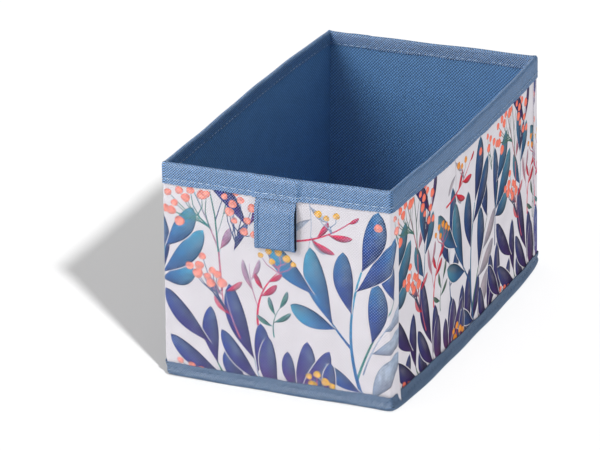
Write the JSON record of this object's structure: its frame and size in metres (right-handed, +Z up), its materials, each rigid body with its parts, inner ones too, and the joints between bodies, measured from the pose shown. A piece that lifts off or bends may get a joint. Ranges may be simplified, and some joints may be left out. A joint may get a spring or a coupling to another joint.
{
  "type": "fabric storage bin",
  "caption": "Small open-topped fabric bin with stiffened printed walls, plain blue lining, tape-bound edges, a front pull tab and a loose base board.",
  "frame": {"origin": "centre of the footprint, on the surface that the bound bottom edge stands on", "axes": "+X to the right seen from the front, +Y from the front wall with the pull tab to the back wall, +Z up"},
  "size_m": [0.1458, 0.2429, 0.133],
  "materials": {
    "printed_fabric": "off-white spunbond nonwoven with a leaf and berry print",
    "lining_fabric": "mid blue spunbond nonwoven, matt",
    "binding_tape": "steel blue spunbond nonwoven tape, matt",
    "greyboard": "bare board",
    "pale_thread": "pale blue sewing thread",
    "blue_thread": "blue sewing thread",
    "grey_thread": "dark grey sewing thread"
  },
  "bodies": {
    "bin": {"outer_front": "printed_fabric", "outer_right": "printed_fabric", "outer_back": "printed_fabric", "outer_left": "printed_fabric", "board_front": "greyboard", "board_right": "greyboard", "board_back": "greyboard", "board_left": "greyboard", "lining_front": "lining_fabric", "lining_right": "lining_fabric", "lining_back": "lining_fabric", "lining_left": "lining_fabric", "base_panel": "lining_fabric", "top_binding": "binding_tape", "bottom_binding": "binding_tape", "thread_top_outer": "pale_thread", "thread_top_inner": "pale_thread", "thread_bottom_outer": "blue_thread", "thread_bottom_inner": "blue_thread", "thread_corner_front_left": "grey_thread", "thread_corner_front_right": "grey_thread", "thread_corner_back_left": "grey_thread", "thread_corner_back_right": "grey_thread", "tab_root": "binding_tape"},
    "tab": {"pull_tab": "binding_tape"},
    "insert": {"insert_board": "greyboard", "insert_cover_top": "lining_fabric", "insert_cover_bottom": "lining_fabric"}
  },
  "joints": [
    {"name": "tab_swing", "type": "hinge", "parent": "bin", "child": "tab", "pos_m": [0, -0.1207, 0.1171], "axis": [-1, 0, 0], "range_deg": [0, 150]},
    {"name": "insert_lift", "type": "slide", "parent": "bin", "child": "insert", "axis": [0, 0, 1], "range_m": [0, 0.14]}
  ]
}
